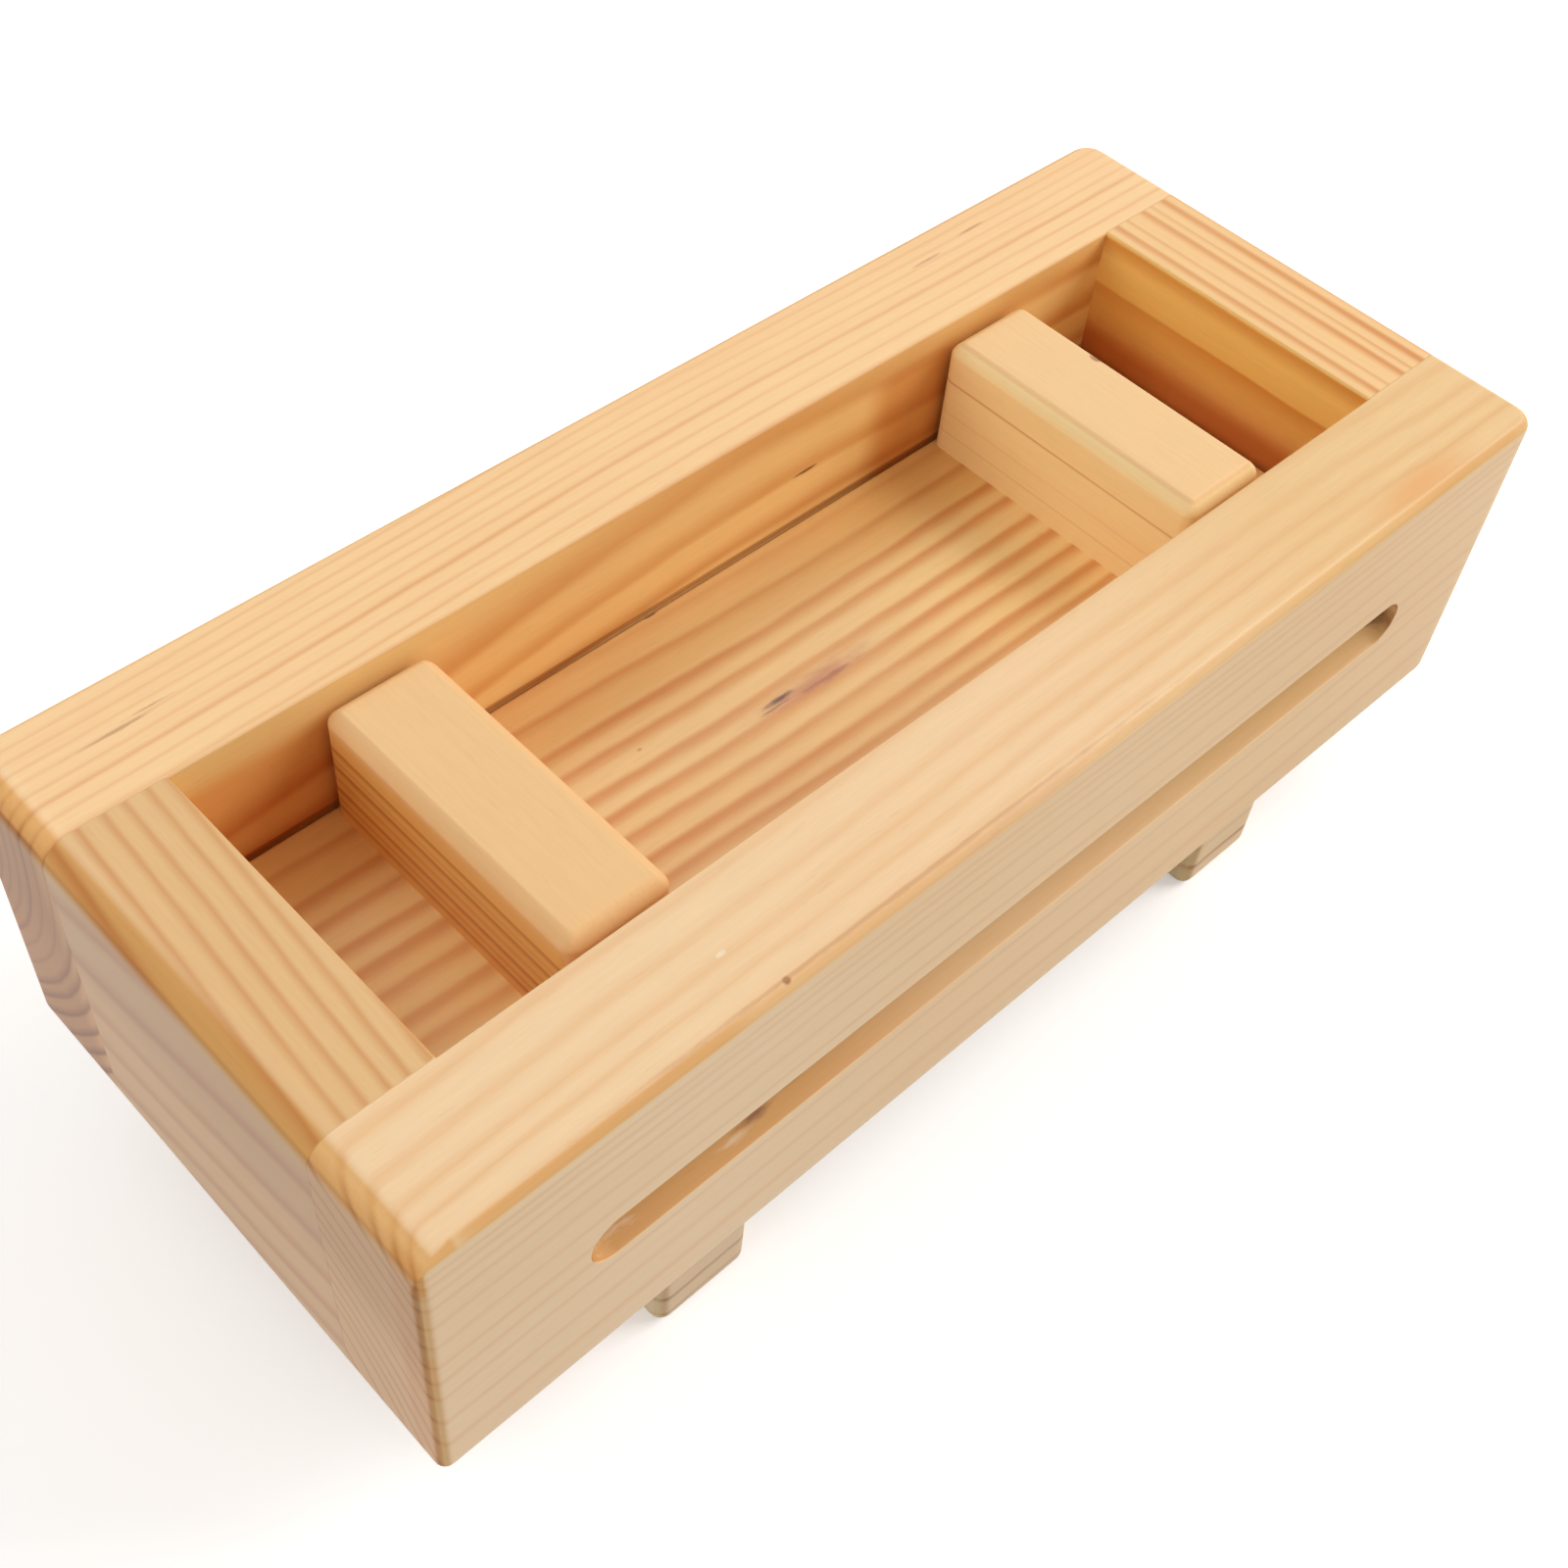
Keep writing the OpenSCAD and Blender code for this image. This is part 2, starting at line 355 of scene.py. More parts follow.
def cut_with(piece, cutter):
    """Takes the cutter's shape out of the piece."""
    work_on(piece)
    bpy.ops.object.modifier_add(type="BOOLEAN")
    cut = piece.modifiers[-1]
    cut.operation = "DIFFERENCE"
    cut.solver = "EXACT"
    cut.object = cutter
    bpy.ops.object.modifier_apply(modifier=cut.name)


def copy_of(piece, name):
    """A copy with its own mesh."""
    work_on(piece)
    bpy.ops.object.duplicate(linked=False)
    twin = bpy.context.object
    twin.name = twin.data.name = name
    return twin


print("cutting tools ready")

# %% [markdown]
# ## Cutters for the frame
# Two router bits shape the frame. One rounds the rims of the mouth, and it leaves a clean
# mitre in each corner, so its path is made as one solid: a block as large as the mouth that
# flares at both ends in small extruded steps. The other is a ball bit that cuts the finger
# groove: half of a sphere is pulled out along the rail with Extrude. The top edge of the left
# end was sanded off more than the rest, right across the glued frame. What the sander took
# away there is a square bar less a rod, and that bar comes out of each rail that it crosses.

# %% Rim cutter
FRAME_LOW, FRAME_HIGH = Vector((-125, -54, 24)), Vector((125, 54, 89))
MOUTH = Vector((104, 31, 0))
RIM_RADIUS, RIM_STEPS = 0.5, 4
CLEAR, OVERSHOOT = 0.02, 2


def rim_cutter():
    """A block that just clears the mouth and flares out over its rims."""
    half = [MOUTH.x - CLEAR, MOUTH.y - CLEAR]
    low, high = FRAME_LOW.z + RIM_RADIUS, FRAME_HIGH.z - RIM_RADIUS
    cutter = sawn_block("rim_cutter", (-half[0], -half[1], low), (half[0], half[1], high))
    bpy.ops.object.mode_set(mode="EDIT")
    for side, level in ((1, high), (-1, low)):
        size, z = list(half), level
        pick(cutter, "FACE", lambda *corners: all(abs(p.z - level) < TINY for p in corners))
        for step in range(1, RIM_STEPS + 2):
            turn = math.radians(min(90 * step / RIM_STEPS, 90))
            flare = RIM_RADIUS * (1 - math.cos(turn))
            target = level + side * RIM_RADIUS * math.sin(turn)
            if step >= RIM_STEPS:
                target += side * (CLEAR if step == RIM_STEPS else OVERSHOOT)
            grown = [MOUTH.x + flare, MOUTH.y + flare]
            bpy.ops.mesh.extrude_region_move(
                TRANSFORM_OT_translate={"value": (0, 0, (target - z) * MM)})
            bpy.ops.transform.resize(
                value=(grown[0] / size[0], grown[1] / size[1], 1),
                center_override=(0, 0, target * MM))
            size, z = grown, target
    bpy.ops.object.mode_set(mode="OBJECT")
    return cutter


rim = rim_cutter()
print(rim.name, len(rim.data.polygons), "faces")

# %% Groove cutter
GROOVE_WIDTH, GROOVE_DEPTH = 10.4, 4.0
GROOVE_END, GROOVE_Z, GROOVE_RULES = 97.0, 56.5, 47


def groove_cutter():
    """The path of a ball bit along the front rail."""
    radius = ((GROOVE_WIDTH / 2) ** 2 + GROOVE_DEPTH ** 2) / (2 * GROOVE_DEPTH)
    start = Vector((-GROOVE_END + GROOVE_WIDTH / 2,
                    FRAME_LOW.y - radius + GROOVE_DEPTH, GROOVE_Z)) * MM
    bpy.ops.mesh.primitive_uv_sphere_add(
        segments=64, ring_count=32, radius=radius * MM, location=start,
        rotation=(0, math.pi / 2, 0))
    cutter = bpy.context.object
    cutter.name = "groove_cutter"
    settle()
    bpy.ops.object.mode_set(mode="EDIT")
    pick(cutter, "FACE", lambda *corners: max(p.x for p in corners) > start.x / MM + TINY)
    run = 2 * GROOVE_END * MM - GROOVE_WIDTH * MM
    bpy.ops.mesh.extrude_region_move(TRANSFORM_OT_translate={"value": (run, 0, 0)})
    pick(cutter, "EDGE", lambda a, b: abs(a.x - b.x) > run / MM * 0.9)
    bpy.ops.mesh.subdivide(number_cuts=GROOVE_RULES)
    bpy.ops.object.mode_set(mode="OBJECT")
    return cutter


groove = groove_cutter()
print(groove.name, len(groove.data.polygons), "faces")

# %% Left end cutter
LEFT_ROUND = 5.0


def left_end_cutter():
    """A bar less the rod that is left standing: what rounding the left end takes away."""
    rod_x, rod_z = FRAME_LOW.x + LEFT_ROUND, FRAME_HIGH.z - LEFT_ROUND
    cutter = sawn_block("left_end_cutter", (-130, -60, rod_z), (rod_x, 60, 95))
    bpy.ops.mesh.primitive_cylinder_add(
        vertices=96, radius=LEFT_ROUND * MM, depth=0.4,
        location=Vector((rod_x, 0, rod_z)) * MM, rotation=(math.pi / 2, 0, 0))
    rod = bpy.context.object
    cut_with(cutter, rod)
    bpy.data.objects.remove(rod)
    return cutter


left_end = left_end_cutter()
print(left_end.name, len(left_end.data.polygons), "faces")

# %% [markdown]
# ## The four rails
# The front and back rails run the full length, and the end rails are held between them in
# plain butt joints. The outer edges were rounded after the frame was glued, so the rounding
# runs on from one rail to the next: both kinds of rail get the same radius on the same line,
# and no rounding inside a joint. The upright edges at the right end are rounded off more, so
# they come first, and the smaller rounding then follows the curve that they leave.

# %% Long rails
EDGE_RADIUS, CORNER_RADIUS = 2.0, 4.5
left, right = (X, FRAME_LOW.x), (X, FRAME_HIGH.x)
front = (Y, FRAME_LOW.y)
under, top = (Z, FRAME_LOW.z), (Z, FRAME_HIGH.z)


def outer_edge(a, b):
    """Whether the edge from a to b of the front rail is one of those to be rounded."""
    def outside(p):
        in_corner = p.x > right[1] - CORNER_RADIUS and p.y < front[1] + CORNER_RADIUS
        return abs(p.y - front[1]) < TINY or abs(p.x - right[1]) < TINY or in_corner

    def both(axis, place):
        return abs(a[axis] - place) < TINY and abs(b[axis] - place) < TINY
    if outside(a) and outside(b) and (both(*top) or both(*under)):
        return True
    return both(*left) and (both(*front) or both(*under))


def long_rail():
    """The front rail."""
    rail = sawn_block("front_rail_wood", FRAME_LOW, (125, -31, 89))
    bpy.ops.object.mode_set(mode="EDIT")
    rule(rail, (39, 3, 10))
    round_over(rail, [(front, right)], CORNER_RADIUS)
    pick(rail, "EDGE", outer_edge)
    bevel(EDGE_RADIUS)
    bpy.ops.object.mode_set(mode="OBJECT")
    for cutter in (rim, groove, left_end):
        cut_with(rail, cutter)
    return rail


front_rail = long_rail()
back_rail = copy_of(front_rail, "back_rail_wood")
bpy.ops.object.mode_set(mode="EDIT")
bpy.ops.mesh.select_all(action="SELECT")
bpy.ops.transform.resize(value=(1, -1, 1), center_override=(0, 0, 0))
bpy.ops.mesh.normals_make_consistent(inside=False)
bpy.ops.object.mode_set(mode="OBJECT")
print(front_rail.name, len(front_rail.data.polygons), "faces")

# %% End rails
def end_rail(name, low_x, high_x, rounded):
    """A rail between the two long ones."""
    rail = sawn_block(name, (low_x, -31, 24), (high_x, 31, 89))
    bpy.ops.object.mode_set(mode="EDIT")
    rule(rail, (2, 10, 10))
    round_over(rail, rounded, EDGE_RADIUS)
    bpy.ops.object.mode_set(mode="OBJECT")
    cut_with(rail, rim)
    return rail


left_rail = end_rail("left_end_rail_wood", -125, -104, [(left, under)])
cut_with(left_rail, left_end)
right_rail = end_rail("right_end_rail_wood", 104, 125, [(right, top), (right, under)])
for cutter in (rim, groove, left_end):
    bpy.data.objects.remove(cutter)
for rail in (left_rail, right_rail):
    print(rail.name, len(rail.data.polygons), "faces")

# %% [markdown]
# ## The boards, handles and feet
# The press board and the base board are the same board with all edges just broken. A handle
# is a block with rounded upright edges and a chamfer planed round its top, then sanded: a
# bevel whose profile lies between flat and round. A foot is rounded wherever it is free.

# %% Boards
BOARD_THICK, BOARD_GAP, BOARD_EDGE = 19, 0.7, 0.8


def all_faces(low, high):
    """The six faces of a block as (axis, place) pairs: low ones first."""
    return [(axis, low[axis]) for axis in range(3)] + [(axis, high[axis]) for axis in range(3)]


def board(name, low_z):
    """A board that fits the mouth with a small gap all round."""
    half_x, half_y = MOUTH.x - BOARD_GAP, MOUTH.y - BOARD_GAP
    low, high = (-half_x, -half_y, low_z), (half_x, half_y, low_z + BOARD_THICK)
    made = sawn_block(name, low, high)
    faces = all_faces(low, high)
    bpy.ops.object.mode_set(mode="EDIT")
    rule(made, (39, 11, 3))
    round_over(made, [(p, q) for p in faces for q in faces if p[0] < q[0]],
               BOARD_EDGE, 3)
    bpy.ops.object.mode_set(mode="OBJECT")
    return made


press_board = board("press_board_wood", 43)
base_board = board("base_board_wood", 24)
print(press_board.name, len(press_board.data.polygons), "faces")

# %% Handles
PAIR_APART = 138
BLOCK_EDGE, SANDED = 2.5, 0.36


def shifted_copy(piece, name, shift):
    """A copy moved by shift millimetres along X, with its place in its mesh."""
    twin = copy_of(piece, name)
    bpy.ops.transform.translate(value=(shift * MM, 0, 0))
    settle()
    return twin


def handle(name):
    """The left handle. Its top rim runs on round the four corners, so the rim is found as
    the outline of the top, where the vertices lean outwards."""
    low, high = (-79, -28, 62), (-59, 30, 86)
    made = sawn_block(name, low, high)
    x0, y0, _, x1, y1, (_, top_z) = all_faces(low, high)
    bpy.ops.object.mode_set(mode="EDIT")
    rule(made, (4, 13, 5))
    round_over(made, [(x, y) for x in (x0, x1) for y in (y0, y1)], BLOCK_EDGE)

    def spot(p):
        return tuple(round(c, 3) for c in p[:2])
    outline = {spot(v.co / MM) for v in bmesh.from_edit_mesh(made.data).verts
               if abs(v.co.z / MM - top_z) < TINY and v.normal.z < 0.95}
    pick(made, "EDGE", lambda *ends: all(
        abs(p.z - top_z) < TINY and spot(p) in outline for p in ends))
    bevel(BLOCK_EDGE, 8, SANDED)
    bpy.ops.mesh.select_all(action="SELECT")
    bpy.ops.mesh.remove_doubles(threshold=0.01 * MM)
    bpy.ops.object.mode_set(mode="OBJECT")
    return made


left_handle = handle("left_handle_wood")
right_handle = shifted_copy(left_handle, "right_handle_wood", PAIR_APART)
print(left_handle.name, len(left_handle.data.polygons), "faces")

# %% Feet
def foot(name):
    """The left foot, under the base board."""
    low, high = (-79, -50, 0), (-59, 50, 24)
    made = sawn_block(name, low, high)
    x0, y0, z0, x1, y1, _ = all_faces(low, high)
    bpy.ops.object.mode_set(mode="EDIT")
    rule(made, (4, 23, 5))
    round_over(made, [(x, y) for x in (x0, x1) for y in (y0, y1)]
               + [(x, z0) for x in (x0, x1)] + [(y, z0) for y in (y0, y1)], BLOCK_EDGE)
    bpy.ops.object.mode_set(mode="OBJECT")
    return made


left_foot = foot("left_foot_wood")
right_foot = shifted_copy(left_foot, "right_foot_wood", PAIR_APART)
print(left_foot.name, len(left_foot.data.polygons), "faces")

# %% [markdown]
# ## Smooth shading
# Faces that meet at less than 35 degrees shade as one surface, and a Weighted Normal
# modifier keeps the large flats flat next to the small faces of a rounding.

# %% Smooth shading
WOOD = {
    "front_rail": (front_rail, "frame"), "back_rail": (back_rail, "frame"),
    "left_end_rail": (left_rail, "frame"), "right_end_rail": (right_rail, "frame"),
    "press_board": (press_board, "press"), "left_handle": (left_handle, "press"),
    "right_handle": (right_handle, "press"), "base_board": (base_board, "base"),
    "left_foot": (left_foot, "base"), "right_foot": (right_foot, "base"),
}


def smooth(piece):
    """Smooth shading with hard flats."""
    work_on(piece)
    bpy.ops.object.shade_smooth_by_angle(angle=math.radians(35))
    bpy.ops.object.modifier_add(type="WEIGHTED_NORMAL")
    piece.modifiers[-1].keep_sharp = True
    bpy.ops.object.modifier_apply(modifier=piece.modifiers[-1].name)


for piece, _ in WOOD.values():
    smooth(piece)
print("smoothed", len(WOOD), "pieces")

# %% [markdown]
# ## Pine, from the inside out
# A tree grows a cone of new wood each year. Cut a plank anywhere and its faces show where
# those cones were sliced: arcs on the end grain, close straight lines where the saw crossed
# them squarely, and broad bands where it ran along them. So the rings aren't painted on the
# faces. They are worked out in the block, from the distance to the pith, the middle of the
# tree, and then every face and every rounding shows the right cut by itself.
#
# Positions are in millimetres with the grain along X. The first group measures that
# distance, in a stem that wanders a little. The second makes what runs along the grain.

# %% Stem group
SEED_SHIFT = (17.0, 5.0, 3.0)


def seeded(tree, given):
    """The position moved by the seed, so that no two pieces share their noise."""
    return vector_calc(
        tree, "ADD", given["Position"], scaled(tree, SEED_SHIFT, given["Seed"]))


def stem_group():
    """The distance to the pith of a stem that isn't quite straight."""
    tree, given, result = group("stem_distance", [
        ("Position", "Vector", (0, 0, 0)), ("Pith", "Vector", (0, 0, 0)),
        ("Waviness", "Float", 1.0), ("Seed", "Float", 0.0),
    ], [("Distance", "Float")])
    place = seeded(tree, given)
    half = (0.5, 0.5, 0.5)
    wander = vector_calc(tree, "SUBTRACT", cloud(
        tree, place, 0.02, 1.0, 0.5, (0.5, 1, 1), "Color"), half)
    ripple = vector_calc(tree, "SUBTRACT", cloud(
        tree, place, 0.12, 3.0, 0.6, (0.3, 1, 1), "Color"), half)
    shift = vector_calc(tree, "ADD", vector_calc(tree, "MULTIPLY", wander, (0, 6, 6)),
                        vector_calc(tree, "MULTIPLY", ripple, (0, 2.4, 2.4)))
    shift = scaled(tree, shift, given["Waviness"])
    across = vector_calc(tree, "MULTIPLY", vector_calc(tree, "ADD", vector_calc(
        tree, "SUBTRACT", given["Position"], given["Pith"]), shift), (0, 1, 1))
    feed(tree, result["Distance"], vector_calc(tree, "LENGTH", across))


stem_group()
print("groups:", [g.name for g in bpy.data.node_groups])

# %% Grain group
def grain_group():
    """What runs along the grain: tone, fibres, resin pores, clouds and fading rings."""
    tree, given, result = group("pine_grain", [
        ("Position", "Vector", (0, 0, 0)), ("Distance", "Float", 0.0),
        ("Seed", "Float", 0.0),
    ], [("Tone", "Float"), ("Fibre", "Float"), ("Pore", "Float"), ("Cloud", "Float"),
        ("Fading", "Float")])
    place = seeded(tree, given)
    tone = tree.nodes.new("ShaderNodeTexNoise")
    tone.noise_dimensions = "1D"
    feed(tree, tone.inputs["W"], calc(
        tree, "MULTIPLY_ADD", given["Distance"], 0.22, given["Seed"]))
    tone.inputs["Scale"].default_value = 1.0
    tone.inputs["Detail"].default_value = 1.0
    feed(tree, result["Tone"], step_between(tree, tone.outputs["Fac"], 0.3, 0.7))
    feed(tree, result["Fibre"], cloud(tree, place, 1.6, 4.0, 0.68, (0.06, 1, 1)))
    pore = cloud(tree, place, 2.2, 0.0, 0.5, (0.10, 1, 1))
    feed(tree, result["Pore"], step_between(tree, pore, 0.74, 0.82))
    feed(tree, result["Cloud"], cloud(tree, place, 0.035, 3.0, 0.55, (0.35, 1, 1)))
    fade = cloud(tree, place, 0.03, 2.0, 0.5, (0.5, 1, 1))
    feed(tree, result["Fading"], step_between(tree, fade, 0.3, 0.7, 0.7, 1.1))


grain_group()
print("groups:", [g.name for g in bpy.data.node_groups])

# %% [markdown]
# ## The rings of one piece
# Each year's growth starts pale, darkens slowly and stops sharply, so a ring is four
# numbers: how far its dark line lies from the pith, how dark it is, and how far the dark
# reaches inwards and outwards. The rings of a piece become one curve over the distance.
# Where nothing shows which rings a piece has, a row of them is made from an even gap.

# %% Rings
PLAIN_WOOD = 8


def ring_row(first, last, gap, darkness, inward, outward, seed):
    """Rings with good years and bad years between them."""
    rings, radius, year = [], first, 0
    while radius < last:
        luck = noise.noise(Vector((year * 0.83, seed, 0.5)))
        rings.append((radius, darkness * (1 + 0.6 * luck), inward, outward))
        radius += gap * (1 - 0.5 * luck)
        year += 1
    return rings


def ring_curve(tree, distance, rings):
    """The dark lines over the distance from the pith, from 0 to 1."""
    low, high = rings[0][0] - PLAIN_WOOD, rings[-1][0] + PLAIN_WOOD
    spots = [(low, 0.0)]
    for radius, darkness, inward, outward in rings:
        start = max(radius - inward, spots[-1][0] + 0.05)
        spots += [(start, 0.0), (radius, min(darkness, 1.0)), (radius + outward, 0.0)]
    spots.append((high, 0.0))
    places = [((radius - low) / (high - low), level) for radius, level in spots]
    along = calc(
        tree, "MULTIPLY_ADD", distance, 1 / (high - low), -low / (high - low), clamp=True)
    return step_between(tree, curve_through(tree, along, places, sharp=True), 0.0, 1.0)


print("a row of rings:", [round(r[0], 1) for r in ring_row(60, 80, 4, 0.5, 1, 1, 1)])

# %% [markdown]
# ## From rings to a lacquered surface
# This group turns the masks into colour, height and gloss. Late wood is orange brown and a
# little proud, the fibres only shade the colour, and end grain drinks more lacquer, so its
# rings are darker and its ground is greyer.

# %% Surface group
TONE_SHARE, CLOUD_SHARE = 0.35, 0.65
STREAK_DARK, STREAK_PALE = 0.97, 1.025
END_RINGS_DARKER, PORE_STRENGTH = 0.15, 0.06
GLOSSY, FIBRE_DULLS, END_DULLS = 0.36, 0.16, 0.12


def surface_group():
    """Colour, height and roughness of the wood from its masks."""
    tree, given, result = group("pine_surface", [
        ("Late", "Float", 0.0), ("Tone", "Float", 0.5), ("Fibre", "Float", 0.5),
        ("Pore", "Float", 0.0), ("Cloud", "Float", 0.5), ("End grain", "Float", 0.0),
        ("Pale", "Color", (1, 1, 1, 1)), ("Warm", "Color", (0.9, 0.6, 0.4, 1)),
        ("Dark", "Color", (0.5, 0.3, 0.1, 1)),
    ], [("Color", "Color"), ("Height", "Float"), ("Roughness", "Float")])
    tint = calc(tree, "MULTIPLY_ADD", given["Tone"], TONE_SHARE, calc(
        tree, "MULTIPLY", step_between(tree, given["Cloud"], 0.35, 0.68), CLOUD_SHARE))
    wood = blend_colours(tree, tint, given["Pale"], given["Warm"])
    deep = blend_colours(tree, given["End grain"], given["Dark"], blend_colours(
        tree, 1.0, given["Dark"], srgb(205, 190, 180), "MULTIPLY"))
    late = calc(tree, "MULTIPLY", given["Late"], calc(
        tree, "MULTIPLY_ADD", given["End grain"], END_RINGS_DARKER, 1.0), clamp=True)
    wood = blend_colours(tree, late, wood, deep)
    streak = step_between(tree, given["Fibre"], 0.25, 0.75, STREAK_DARK, STREAK_PALE)
    wood = blend_colours(tree, 1.0, wood, streak, "MULTIPLY")
    wood = blend_colours(tree, calc(tree, "MULTIPLY", given["Pore"], PORE_STRENGTH), wood,
                         srgb(170, 110, 60))
    wood = blend_colours(tree, calc(tree, "MULTIPLY", given["End grain"], 0.9), wood,
                         srgb(240, 228, 222), "MULTIPLY")
    feed(tree, result["Color"], wood)
    feed(tree, result["Height"], calc(tree, "ADD", calc(
        tree, "MULTIPLY", given["Late"], 0.5), calc(tree, "MULTIPLY", given["Fibre"], 0.5)))
    rough = calc(tree, "MULTIPLY_ADD", given["Fibre"], FIBRE_DULLS, GLOSSY)
    feed(tree, result["Roughness"], calc(
        tree, "MULTIPLY_ADD", given["End grain"], END_DULLS, rough))


surface_group()
print("groups:", [g.name for g in bpy.data.node_groups])

# %% [markdown]
# ## Marks in the wood, and painted light
# A knot, a resin pocket or a bruise is a soft spot that is longer along the grain. This
# group measures how deep a point lies inside such a spot, and noise makes its rim ragged.
# The same spots also lay a few painted highlights and patches of painted shade.

# %% Mark group
def mark_group():
    """A ragged ellipsoid mask, from 0 outside to 1 at its core."""
    tree, given, result = group("wood_and_painted_light_mark", [
        ("Position", "Vector", (0, 0, 0)), ("Centre", "Vector", (0, 0, 0)),
        ("Size", "Vector", (1, 1, 1)), ("Ragged", "Float", 0.3), ("Soft", "Float", 0.6),
    ], [("Mask", "Float")])
    away = vector_calc(tree, "DIVIDE", vector_calc(
        tree, "SUBTRACT", given["Position"], given["Centre"]), given["Size"])
    torn = cloud(tree, given["Position"], 0.9, 3.0, 0.6, (0.25, 1, 1))
    far = calc(tree, "ADD", vector_calc(tree, "LENGTH", away), calc(
        tree, "MULTIPLY", calc(tree, "SUBTRACT", torn, 0.5), calc(
            tree, "MULTIPLY", given["Ragged"], 4.0)))
    inner = calc(tree, "SUBTRACT", 1.0, given["Soft"])
    feed(tree, result["Mask"], step_between(tree, far, inner, 1.0, 1.0, 0.0))


mark_group()
print("groups:", [g.name for g in bpy.data.node_groups])

# %% [markdown]
# ## Washes of lacquer and painted shade
# The lacquer isn't even. It gathers and turns amber on the outer edges, and glue squeezed
# out of the joints has left thin dark lines. Other washes are painted shade: in the finger
# groove, in the inner corners, on the left face and on a few tops and sides. This group is a
# box with soft sides: 1 within it, and 0 a little way out.

# %% Wash group
def wash_group():
    """A mask for a box between two corners, fading out over a given distance."""
    tree, given, result = group("lacquer_and_shade_wash", [
        ("Position", "Vector", (0, 0, 0)), ("Low", "Vector", (0, 0, 0)),
        ("High", "Vector", (1, 1, 1)), ("Soft", "Vector", (1, 1, 1)),
    ], [("Mask", "Float")])
    below = vector_calc(tree, "SUBTRACT", given["Low"], given["Position"])
    above = vector_calc(tree, "SUBTRACT", given["Position"], given["High"])
    out = vector_calc(tree, "MAXIMUM", vector_calc(tree, "MAXIMUM", below, above), (0, 0, 0))
    far = vector_calc(tree, "LENGTH", vector_calc(tree, "DIVIDE", out, given["Soft"]))
    feed(tree, result["Mask"], step_between(tree, far, 0.0, 1.0, 1.0, 0.0))


wash_group()
print("groups:", [g.name for g in bpy.data.node_groups])

# %% [markdown]
# ## The material of one piece
# Every piece was cut from its own place in its own tree, so each gets a material with its
# own pith, rings and colours. The stem may also bend along the piece: those bends are a
# curve with a few points, given as places along the grain and shifts in millimetres. Where
# the surface points along no axis, it is on a rounding or a chamfer: there the lacquer is
# rubbed thin and dull, and some of the washes colour nothing else.

# %% Bends, washes and marks
BEND_REACH, BEND_MOST = 130.0, 12.0


def stem_bend(tree, along, points):
    """A curve through points (place along the grain, shift), both in millimetres."""
    spots = [(0.5 + at / (2 * BEND_REACH), 0.5 + shift / (2 * BEND_MOST))
             for at, shift in points]
    bend = curve_through(
        tree, calc(tree, "MULTIPLY_ADD", along, 0.5 / BEND_REACH, 0.5), spots)
    return calc(tree, "MULTIPLY_ADD", bend, 2 * BEND_MOST, -BEND_MOST)


def washed(tree, colour, place, rounding, washes):
    """The colour under the washes of a piece, which multiply it."""
    for low, high, soft, tone, strength, on_edges in washes:
        mask = place_group(tree, "lacquer_and_shade_wash", Position=place, Low=low, High=high,
                           Soft=soft)["Mask"]
        if on_edges:
            mask = calc(tree, "MULTIPLY", mask, rounding)
        colour = blend_colours(tree, calc(tree, "MULTIPLY", mask, strength), colour,
                               srgb(*tone), "MULTIPLY")
    return colour


def marked(tree, colour, place, marks):
    """The colour with the marks of a piece, which cover it."""
    for centre, size, tone, strength, ragged, soft in marks:
        mask = place_group(tree, "wood_and_painted_light_mark", Position=place, Centre=centre,
                           Size=size, Ragged=ragged, Soft=soft)["Mask"]
        colour = blend_colours(tree, calc(tree, "MULTIPLY", mask, strength), colour,
                               srgb(*tone))
    return colour


print("a bend reaches", 2 * BEND_REACH, "mm and shifts up to", BEND_MOST, "mm")

# %% Pine material
ALONG_X, ALONG_Y = 0.0, -math.pi / 2
FLAT, ROUNDED = 0.998, 0.90
EDGE_DULLS = 0.35
COAT, EDGE_COAT, COAT_ROUGHNESS = 0.25, 0.05, 0.28
BUMP_STRENGTH, BUMP_DEPTH = 0.4, 0.04
PINES = {}


